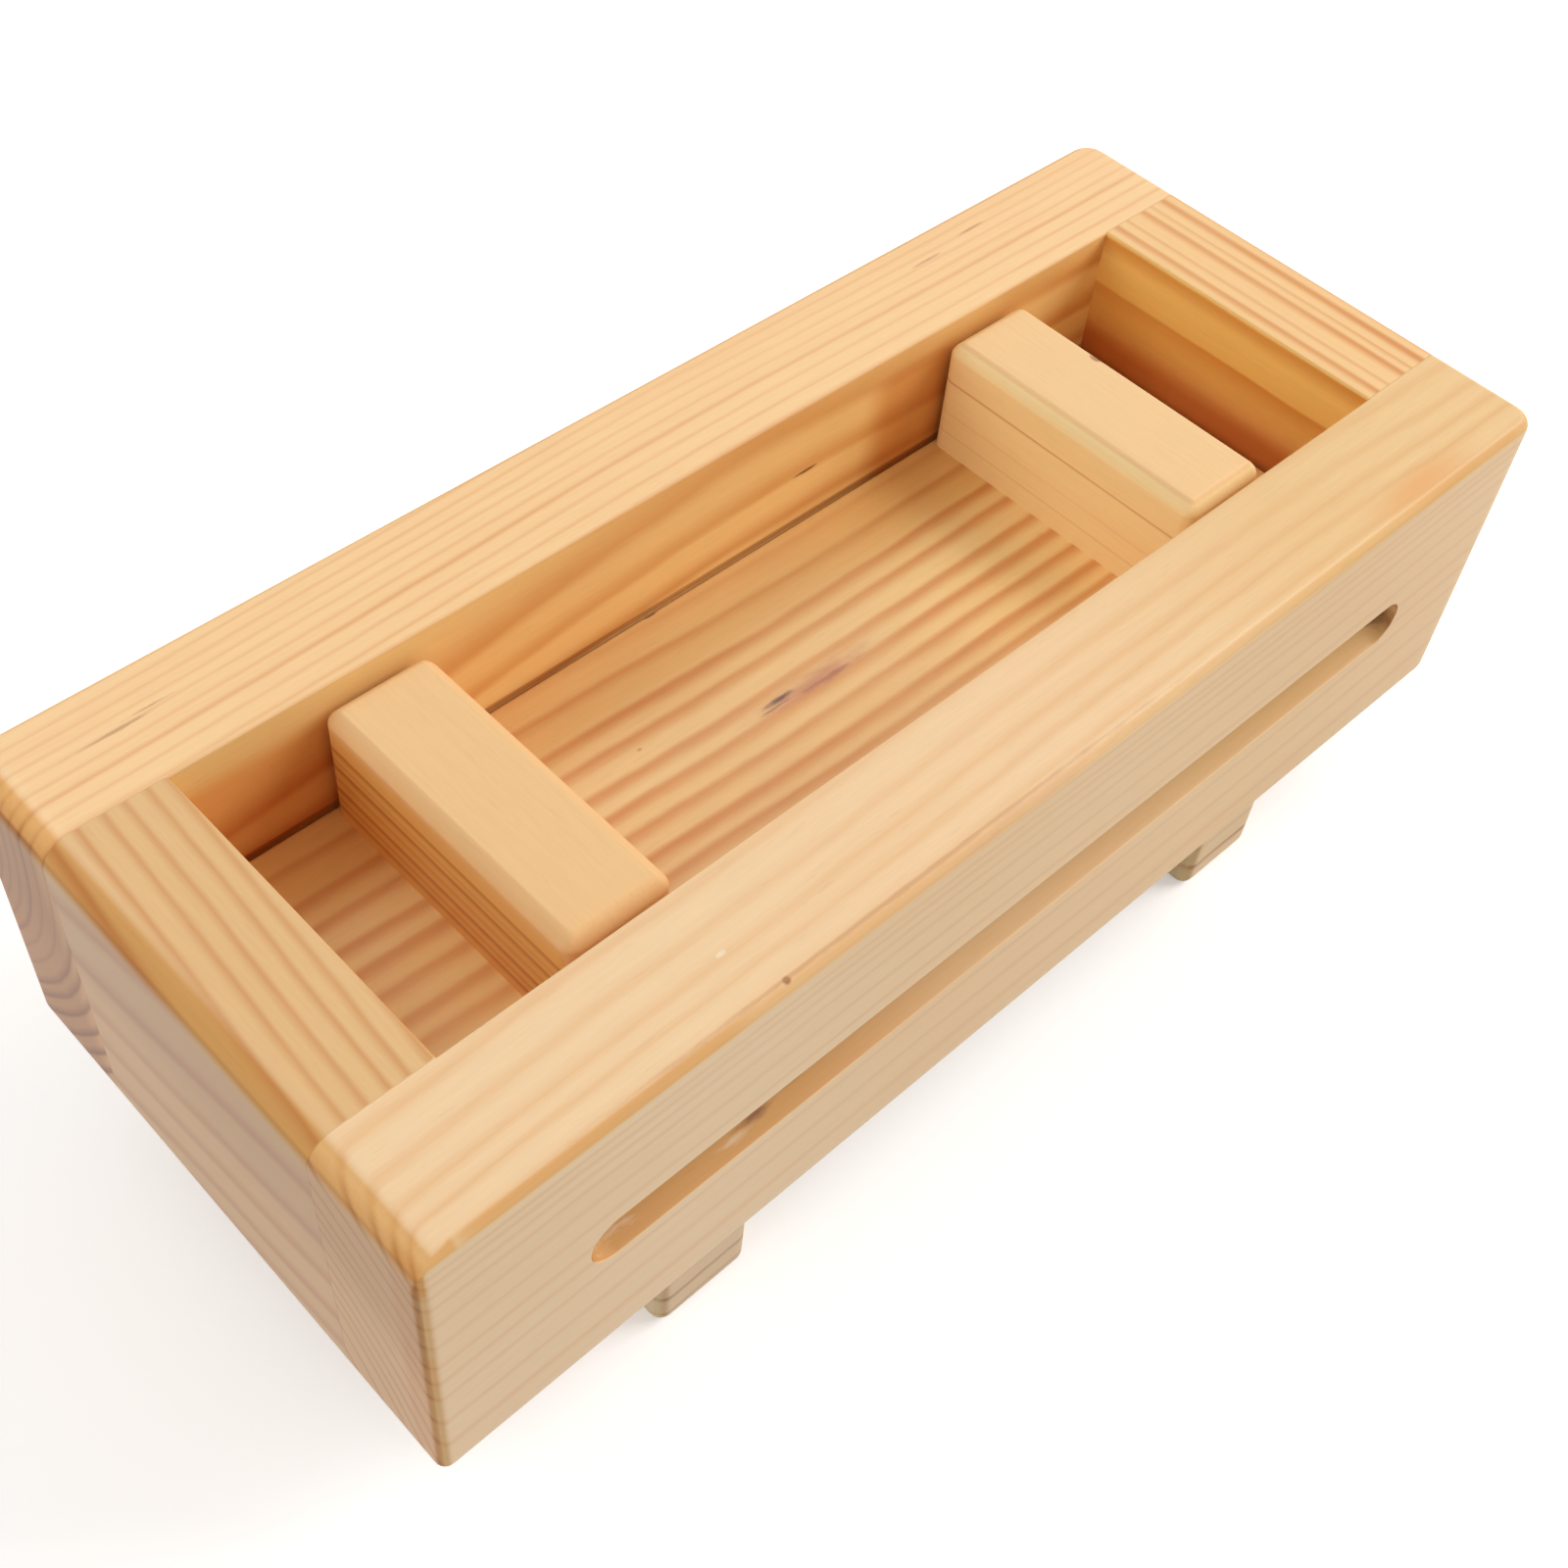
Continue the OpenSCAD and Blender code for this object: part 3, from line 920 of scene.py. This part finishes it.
def pine(node, grain, pith, rings, pale, warm, dark, waviness, seed, bends=None, marks=(),
         washes=()):
    """A lacquered pine of its own for the piece that takes the place of a node."""
    material, tree, shader = new_material(node + "_pine")
    where = tree.nodes.new("ShaderNodeTexCoord")
    place = scaled(tree, where.outputs["Object"], 1 / MM)
    turned = tree.nodes.new("ShaderNodeMapping")
    feed(tree, turned.inputs["Vector"], place)
    turned.inputs["Rotation"].default_value = (0, 0, grain)
    grown = turned.outputs[0]
    if bends:
        along = taken_apart(tree, grown)["X"]
        bend = tree.nodes.new("ShaderNodeCombineXYZ")
        for axis, points in bends.items():
            feed(tree, bend.inputs[axis], stem_bend(tree, along, points))
        grown = vector_calc(tree, "SUBTRACT", grown, bend.outputs[0])
    distance = place_group(tree, "stem_distance", Position=grown, Pith=pith,
                           Waviness=waviness, Seed=seed)["Distance"]
    grain_of = place_group(tree, "pine_grain", Position=turned.outputs[0],
                           Distance=distance, Seed=seed)
    late = calc(tree, "MULTIPLY", ring_curve(tree, distance, rings), grain_of["Fading"])

    facing = taken_apart(tree, vector_calc(tree, "ABSOLUTE", where.outputs["Normal"]))
    end_grain = step_between(tree, facing["X" if grain == ALONG_X else "Y"], 0.55, 0.95)
    widest = calc(tree, "MAXIMUM", facing["X"], calc(
        tree, "MAXIMUM", facing["Y"], facing["Z"]))
    rounding = step_between(tree, widest, FLAT, ROUNDED)
    surface = place_group(
        tree, "pine_surface", Late=late, Tone=grain_of["Tone"], Fibre=grain_of["Fibre"],
        Pore=grain_of["Pore"], Cloud=grain_of["Cloud"], End_grain=end_grain,
        Pale=srgb(*pale), Warm=srgb(*warm), Dark=srgb(*dark))
    colour = washed(tree, surface["Color"], place, rounding, washes)
    feed(tree, shader.inputs["Base Color"], marked(tree, colour, turned.outputs[0], marks))
    feed(tree, shader.inputs["Roughness"], calc(
        tree, "MULTIPLY_ADD", rounding, EDGE_DULLS, surface["Roughness"]))
    bump = tree.nodes.new("ShaderNodeBump")
    bump.inputs["Strength"].default_value = BUMP_STRENGTH
    bump.inputs["Distance"].default_value = BUMP_DEPTH * MM
    feed(tree, bump.inputs["Height"], surface["Height"])
    feed(tree, shader.inputs["Normal"], bump.outputs["Normal"])
    feed(tree, shader.inputs["Coat Weight"], calc(
        tree, "MULTIPLY_ADD", rounding, EDGE_COAT - COAT, COAT))
    shader.inputs["Coat Roughness"].default_value = COAT_ROUGHNESS
    PINES[node] = material


print("one material for each of", len(WOOD), "pieces")

# %% [markdown]
# ## Ten pieces of pine
# Pith and rings are read off each piece: the arcs on an end say where the pith was, and the
# lines on a flat face say where each ring comes to the surface. So rings are given by points
# (across, up) that they pass through. For a piece with its grain along Y, across is -X, and
# so is the second number of its pith.

# %% Rings read off the faces
def rings_through(pith, points, inward, outward):
    """Rings through points, each with its darkness: (across, up, darkness)."""
    return sorted((math.hypot(across - pith[1], up - pith[2]), darkness, inward, outward)
                  for across, up, darkness in points)


def of_radius(radii, inward, outward, darkness):
    """Rings of known radius that all look the same."""
    return [(radius, darkness, inward, outward) for radius in radii]


BELOW_BOARD = (0, -170, -140)
PITH_BELOW_LEFT, PITH_BELOW_RIGHT = (0, 69, -300), (0, -69, -300)
BOARD_RINGS = rings_through(BELOW_BOARD, [
    (34, 62, 0.5), (28, 62, 0.5), (22, 62, 0.8), (14.8, 62, 1), (9.8, 62, 0.95),
    (3.7, 62, 1), (-1.2, 62, 1), (-6.2, 62, 0.9), (-11.5, 62, 1), (-15.8, 62, 0.8),
    (-20.5, 62, 0.9), (-25, 62, 0.8), (-30, 62, 0.7), (-31, 52, 0.7), (-31, 45, 0.7)],
    1.9, 0.9)
LEFT_HANDLE_RINGS = rings_through(PITH_BELOW_LEFT, [
    (79, 79, 0.9), (79, 76.5, 0.4), (79, 74.8, 0.9), (79, 72, 0.5), (79, 69.5, 1),
    (79, 67, 0.6), (79, 65, 1)], 1.5, 0.5)
RIGHT_HANDLE_RINGS = rings_through(PITH_BELOW_RIGHT, [
    (-59, 78, 0.9), (-59, 71, 0.35), (-59, 66.5, 0.5)], 0.5, 0.25)
LEFT_FOOT_RINGS = rings_through(PITH_BELOW_LEFT, [
    (79, 19, 0.3), (79, 14, 0.35), (79, 8.3, 0.6), (79, 3, 0.4)], 1.6, 1.0)
RIGHT_FOOT_RINGS = rings_through(PITH_BELOW_RIGHT, [
    (-59, 19, 0.4), (-59, 12.5, 0.3), (-59, 6.8, 0.75)], 1.8, 1.0)
FRONT_RINGS = of_radius([42.5, 45.5, 51, 56, 59.5, 63, 66.9, 71, 75.8, 79.2, 82.6, 87,
                         91.5, 95.6, 98.3, 100.6, 102.4, 104.8], 1.1, 0.8, 0.5)
BACK_RINGS = (of_radius([50.4, 52.8, 55.1, 57.4, 60], 1.0, 0.7, 0.4)
              + of_radius([62.7], 1.2, 0.8, 0.6) + of_radius([65.7, 69], 1.0, 0.7, 0.45)
              + of_radius([73, 75.8, 79.2, 83, 86.5, 90, 94, 98, 102.5], 1.8, 0.7, 0.8))
LEFT_END_RINGS = of_radius([293.3, 297, 300.9, 304.4, 308.1, 311.2, 314.7, 318.2, 321.8,
                            325.4, 329], 1.5, 0.9, 0.75)
RIGHT_END_RINGS = [
    (93.3, 0.9, 1.0, 0.5), (95, 0.8, 1.5, 0.12), (97.6, 1.0, 1.2, 0.15),
    (100.7, 1.0, 1.7, 1.0), (103.6, 0.6, 1.0, 0.8), (108.2, 0.95, 2.0, 1.0),
    (110.6, 0.6, 1.0, 0.7), (113.9, 1.0, 1.8, 1.3), (117, 0.8, 1.2, 0.8),
    (119.2, 0.7, 1.0, 0.8)]
print("rings of the press board:", [round(r[0]) for r in BOARD_RINGS])

# %% [markdown]
# ## Washes that several rails share
# A wash is a box between two corners, how softly it ends, the colour that multiplies the
# wood, how strongly, and whether it colours the roundings only. It is placed in the frame of
# the whole press, so one wash runs on from rail to rail, as the lacquer on the real one does
# and as the painted shade on the left face does.

# %% Shared washes
AMBER, DEEP_AMBER, GLUE = (252, 232, 196), (246, 222, 178), (206, 186, 156)


def wash(one, other, soft, tone, strength=1.0, on_edges=False):
    """One wash of lacquer tint, or of painted shade, in the box between two opposite corners.
    """
    low, high = zip(*(sorted(pair) for pair in zip(one, other)))
    return low, high, soft, tone, strength, on_edges


def outer_edges(sign, strength):
    """The amber tint on the outer edges of a long rail, kept off the finger groove."""
    return [wash((-116, sign * 49.5, low_z), (117, sign * 55, high_z), (3, 2, 3), AMBER,
                 strength, True) for low_z, high_z in ((66, 90), (20, 47))]


def end_edges(strength):
    """The same tint across the right end of the frame."""
    return [wash((120, -55, 20), (126, 55, 90), (2, 1, 1), AMBER, strength, True)]


def glue_lines(sign):
    """Squeezed out glue where the long rail meets both end rails."""
    return [wash((side * 105, sign * 31, 20), (side * 126, sign * 31.1, 90), (1, 0.15, 1),
                 GLUE, 0.5) for side in (-1, 1)]


def groove_wash(sign):
    """In the finger groove: painted shade on its lower half, which faces the lamps, and orange
    lacquer in its left part.
    """
    start, face = (-98, sign * 49, 50), sign * 53.7
    return [wash(start, (98, face, 56), (0.5, 0.3, 1.5), (226, 214, 198)),
            wash(start, (-60, face, 63), (45, 0.3, 1), (248, 230, 200))]


LEFT_END_AMBER = [wash((-126, -55, 82), (-119, 55, 90), (1, 1, 1), DEEP_AMBER, 0.9, True)]
# Painted shade on the outer left face of the frame: darker all over, and most near its top.
LEFT_FACE_SHADE = [wash((-126, -55, 20), (-124.6, 55, 83), (0.4, 1, 4), (229, 222, 214)),
             wash((-126, -55, 70), (-124.6, 55, 83), (0.4, 1, 22), (232, 229, 220))]
print("washes on the left end:", len(LEFT_END_AMBER + LEFT_FACE_SHADE))

# %% [markdown]
# ## The long rails
# Both were sawn beside the pith, so their tops and sides show long fine lines and their ends
# show arcs. A mark is a centre and a size along the grain, a colour, how strong it is, how
# ragged and how soft. The front rail has two small dead knots on the upper lip of its groove
# and a worn top edge. The back rail has thin resin streaks in its top and a deeper colour
# where the handles keep the light from its inner side.

# %% Wood of the front rail
pine("front_rail", ALONG_X, (0, 5, 1), FRONT_RINGS, (253, 219, 171), (251, 211, 160),
    (236, 178, 114), waviness=0.3, seed=1.0,
    bends={"Z": [(-125, 0.8), (-110, 0.5), (-40, 0), (30, -0.8), (75, -0.6), (110, 0.5),
                 (125, 0.8)]},
    washes=outer_edges(-1, 0.55) + end_edges(0.35) + glue_lines(-1) + groove_wash(-1)
    + LEFT_END_AMBER + LEFT_FACE_SHADE + [
        wash((80, -55, 20), (126, -30, 90), (80, 1, 1), (246, 240, 219)),
        wash((-126, -53, 88.6), (126, -30, 90), (1, 1, 0.4), (250, 248, 248)),
        wash((-126, -55, 20), (-124, -49, 90), (1.5, 2, 1), (248, 226, 188), 0.45),
        # painted shade: the front face darker and yellower towards its right end
        wash((-20, -55, 20), (126, -53.9, 87), (60, 0.1, 0.5), (250, 243, 227)),
        wash((-113, -55, 66), (-74, -49.5, 90), (8, 2, 3), (244, 222, 176), 0.5, True)],
    marks=[
        # the two knots, and painted highlights beside them
        ((-62.9, -51.4, 53.3), (5.0, 3, 1.2), (110, 64, 48), 0.7, 0.35, 0.9),
        ((-61, -51.4, 54.6), (3.4, 3, 0.6), (150, 100, 76), 0.6, 0.4, 0.8),
        ((-54.8, -50.9, 53.9), (4.4, 3, 0.7), (112, 72, 50), 0.7, 0.35, 0.9),
        ((-67, -52.4, 52.4), (4.2, 2, 0.5), (250, 230, 204), 0.45, 0.5, 0.9),
        ((-91, -52.4, 53), (5, 2, 0.9), (250, 232, 206), 0.4, 0.8, 0.9),
        # painted shade in the right end of the groove
        ((94.6, -51.5, 56), (2.6, 4, 4), (120, 70, 40), 0.75, 0.2, 0.7),
        # a dent and a fleck on the top
        ((-61, -52.5, 89), (0.9, 0.8, 0.8), (140, 84, 40), 0.8, 0.1, 0.6),
        ((-64.9, -43.4, 89), (1.1, 0.6, 1), (255, 240, 208), 0.6, 0.4, 0.9),
        # the worn edge: a dark line, pink wood laid bare, and an orange glow at the right
        ((-35, -52.3, 89), (78, 0.6, 1), (196, 132, 74), 0.5, 0.2, 0.8),
        ((-10, -53.2, 88.5), (26, 1.0, 1.3), (236, 184, 146), 0.35, 0.5, 0.9),
        ((36, -53.4, 88.4), (30, 0.8, 1.2), (236, 188, 150), 0.25, 0.5, 0.9),
        ((93, -50.2, 89), (20, 4.5, 3.5), (234, 162, 88), 0.7, 0.05, 1.0),
    ])
print("front rail:", len(FRONT_RINGS), "rings")

# %% Wood of the back rail
pine("back_rail", ALONG_X, (0, 103, 97), BACK_RINGS, (252, 210, 153), (250, 203, 146),
    (222, 150, 84), waviness=0.25, seed=2.0,
    bends={"Y": [(-125, -2.6), (-90, -1.8), (0, 0), (50, -0.2), (105, -0.5), (125, -0.6)],
           "Z": [(-125, -9), (-45, -3.5), (0, 0), (40, 0.8), (125, 2)]},
    washes=outer_edges(1, 0.6) + end_edges(0.4) + glue_lines(1) + groove_wash(1)
    + LEFT_END_AMBER + [
        # the inner side, painted shade for its dark line at the press board, and painted shade
        # of both handles
        wash((-104, 30, 24), (104, 31.02, 88.4), (0.5, 0.1, 0.2), (252, 254, 228)),
        wash((-104, 30, 61.4), (104, 31.3, 62.2), (0.5, 0.1, 0.4), (206, 168, 140), 0.8),
        wash((47, 30, 24), (58, 31.3, 82), (9, 0.3, 4), (228, 186, 146), 0.9),
        wash((-103, 30, 24), (-79, 31.3, 80), (6, 0.3, 5), (242, 206, 176), 0.9)]
    + LEFT_FACE_SHADE + [
        # painted shade at the back end of the left face
        wash((-126, 36, 20), (-124.6, 55, 90), (0.4, 6, 1), (212, 196, 184), 0.9)],
    marks=[
        # resin streaks in the top
        ((-105, 43, 89), (9, 0.5, 2), (150, 100, 66), 0.5, 0.3, 0.9),
        ((-99, 44, 89), (6, 0.35, 2), (150, 100, 66), 0.45, 0.3, 0.9),
        ((70, 46.6, 89), (5, 0.5, 2), (150, 98, 60), 0.5, 0.3, 0.9),
        ((84, 48.2, 89), (5, 0.45, 2), (150, 98, 60), 0.45, 0.3, 0.9),
        # a resin pocket in the inner side
        ((25.2, 31, 73.3), (3.5, 1, 0.5), (110, 60, 30), 0.9, 0.35, 0.5),
    ])
print("back rail:", len(BACK_RINGS), "rings")

# %% [markdown]
# ## The end rails
# The left one comes from far out in a big tree, so its rings are nearly flat and its top has
# even stripes. The right one holds its own pith: the stripes on its top lie close, and its
# inner side is deep orange below, where little light gets in.

# %% Wood of the end rails
pine("left_end_rail", ALONG_Y, (0, 412, 146), LEFT_END_RINGS, (232, 188, 130),
    (229, 183, 123), (206, 138, 72), waviness=0.35, seed=3.0,
    bends={"Y": [(-31, 1.9), (31, -1.9)]},
    washes=LEFT_END_AMBER + LEFT_FACE_SHADE
    + [wash((-126, -31, 20), (-121, 31, 30), (1, 1, 1), AMBER, 0.9, True)])
pine("right_end_rail", ALONG_Y, (0, -11, 58.5), RIGHT_END_RINGS, (247, 203, 142),
    (246, 198, 135), (218, 142, 70), waviness=0.08, seed=4.0,
    washes=end_edges(0.4)
    + [wash((103, -31, 24), (104.2, 31, 88.4), (0.2, 1, 1), (255, 251, 202)),
       wash((103, -31, 24), (104.2, 31, 64), (0.2, 1, 12), (226, 196, 232), 0.9)])
print("end rails:", len(LEFT_END_RINGS), "and", len(RIGHT_END_RINGS), "rings")

# %% [markdown]
# ## The boards
# The press board is nearly flat sawn, so its lines are broad and swing a little to the left.
# Its knot is only a thin dark slit with a brown halo. Nothing shows of the base board, so its
# rings are a plain row.

# %% Wood of the boards
pine("press_board", ALONG_X, BELOW_BOARD, BOARD_RINGS, (255, 219, 150),
    (253, 208, 136), (228, 158, 88), waviness=0.4, seed=5.0,
    bends={"Y": [(-125, 3.6), (-87, 2.3), (-40, 1), (20, 0), (52, 0), (125, 0)]},
    # painted shade at the back of the board, below the back rail, and across its middle
    # between the handles
    washes=[wash((-104, 20, 40), (104, 31, 63), (1, 14, 1), (240, 226, 204)),
            wash((-56, -31, 40), (10, 31, 63), (30, 1, 1), (241, 240, 252))],
    marks=[
        # the halo of the knot, its purple side and its slit
        ((-1, 0.3, 61.5), (19, 3.0, 4), (196, 128, 100), 0.8, 0.15, 0.95),
        ((1, -0.6, 61.5), (9, 0.8, 3), (160, 100, 84), 0.55, 0.4, 0.9),
        ((-8.6, 1.2, 61.5), (4.6, 0.75, 3), (86, 56, 62), 0.85, 0.25, 0.8),
        ((-10.5, 0.2, 61.5), (4.6, 0.4, 3), (130, 84, 74), 0.6, 0.3, 0.9),
        # a speck, and a chip on the back edge
        ((-34, 8, 62), (0.8, 0.45, 1), (140, 92, 56), 0.5, 0.2, 0.8),
        ((-12.5, 30, 61.8), (2.2, 0.8, 1.2), (120, 74, 40), 0.8, 0.3, 0.6),
    ])
pine("base_board", ALONG_X, (0, 150, -90), ring_row(160, 228, 3.2, 0.8, 1.5, 0.7, 6.0),
    (250, 212, 158), (244, 200, 142), (196, 126, 66), waviness=0.6, seed=6.0)
print("press board:", len(BOARD_RINGS), "rings")

# %% [markdown]
# ## Handles and feet
# These four short blocks have their grain across the press. The handles show fine level
# lines on their sides and hardly any on top, so their rings are nearly flat and the pith
# lies far below. The feet are greyer, as rough sawn ends under a thin coat are.

# %% Wood of the handles and feet
pine("left_handle", ALONG_Y, PITH_BELOW_LEFT, LEFT_HANDLE_RINGS, (243, 198, 139),
    (242, 194, 134), (184, 106, 38), waviness=0.12, seed=7.0,
    washes=[wash((-80, -30, 60), (-78.8, 32, 81), (0.2, 1, 3), (253, 246, 206)),
            # painted shade low on its left side, next to the board
            wash((-80, -30, 60), (-78.5, 32, 66), (0.5, 1, 6), (246, 222, 200), 0.3)])
pine("right_handle", ALONG_Y, PITH_BELOW_RIGHT, RIGHT_HANDLE_RINGS, (255, 226, 164),
    (254, 219, 157), (206, 140, 80), waviness=0.12, seed=8.0,
    # painted shade on its top
    washes=[wash((58, -29, 85.6), (80, 31, 87), (1, 1, 0.4), (245, 229, 226))],
    marks=[
        # a nick in its right top edge
        ((9.6, -76.8, 85.6), (1.6, 1.0, 1.0), (150, 92, 48), 0.8, 0.3, 0.6)])
pine("left_foot", ALONG_Y, PITH_BELOW_LEFT, LEFT_FOOT_RINGS, (254, 233, 190),
    (253, 225, 180), (226, 174, 120), waviness=0.5, seed=9.0)
pine("right_foot", ALONG_Y, PITH_BELOW_RIGHT, RIGHT_FOOT_RINGS, (253, 225, 171),
    (252, 217, 162), (224, 168, 108), waviness=0.5, seed=10.0)
print("pines:", list(PINES))

# %% [markdown]
# ## Every piece in its place
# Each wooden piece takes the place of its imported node, moves with that node's body, and
# keeps the slot that says what material it is, so that another wood can be put on later.

# %% Dressing
for node, (piece, body) in WOOD.items():
    piece.data.materials.clear()
    piece.data.materials.append(PINES[node])
    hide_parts(node)
    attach(piece, body)
print("dressed", list(WOOD))

# %% [markdown]
# ## The dowels
# The dowels are inside the joints, where nothing shows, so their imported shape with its
# flutes and chamfers is kept, and they only get their own wood: beech, pinkish brown, with
# the short dark flecks of its rays.

# %% Dowels
def beech():
    """Plain beech for the dowels."""
    material, tree, shader = new_material("dowel_beech")
    place = tree.nodes.new("ShaderNodeTexCoord").outputs["Object"]
    fleck = step_between(tree, cloud(tree, place, 900), 0.55, 0.7)
    tone = cloud(tree, place, 120)
    wood = blend_colours(tree, tone, srgb(214, 172, 130), srgb(196, 148, 106))
    wood = blend_colours(tree, calc(tree, "MULTIPLY", fleck, 0.5), wood, srgb(150, 98, 64))
    feed(tree, shader.inputs["Base Color"], wood)
    shader.inputs["Roughness"].default_value = 0.6
    return material


dowel_wood = beech()
for name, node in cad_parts.items():
    if name.endswith("_dowel"):
        node.data.materials.clear()
        node.data.materials.append(dowel_wood)
print("dowels:", sum(n.endswith("_dowel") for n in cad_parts))
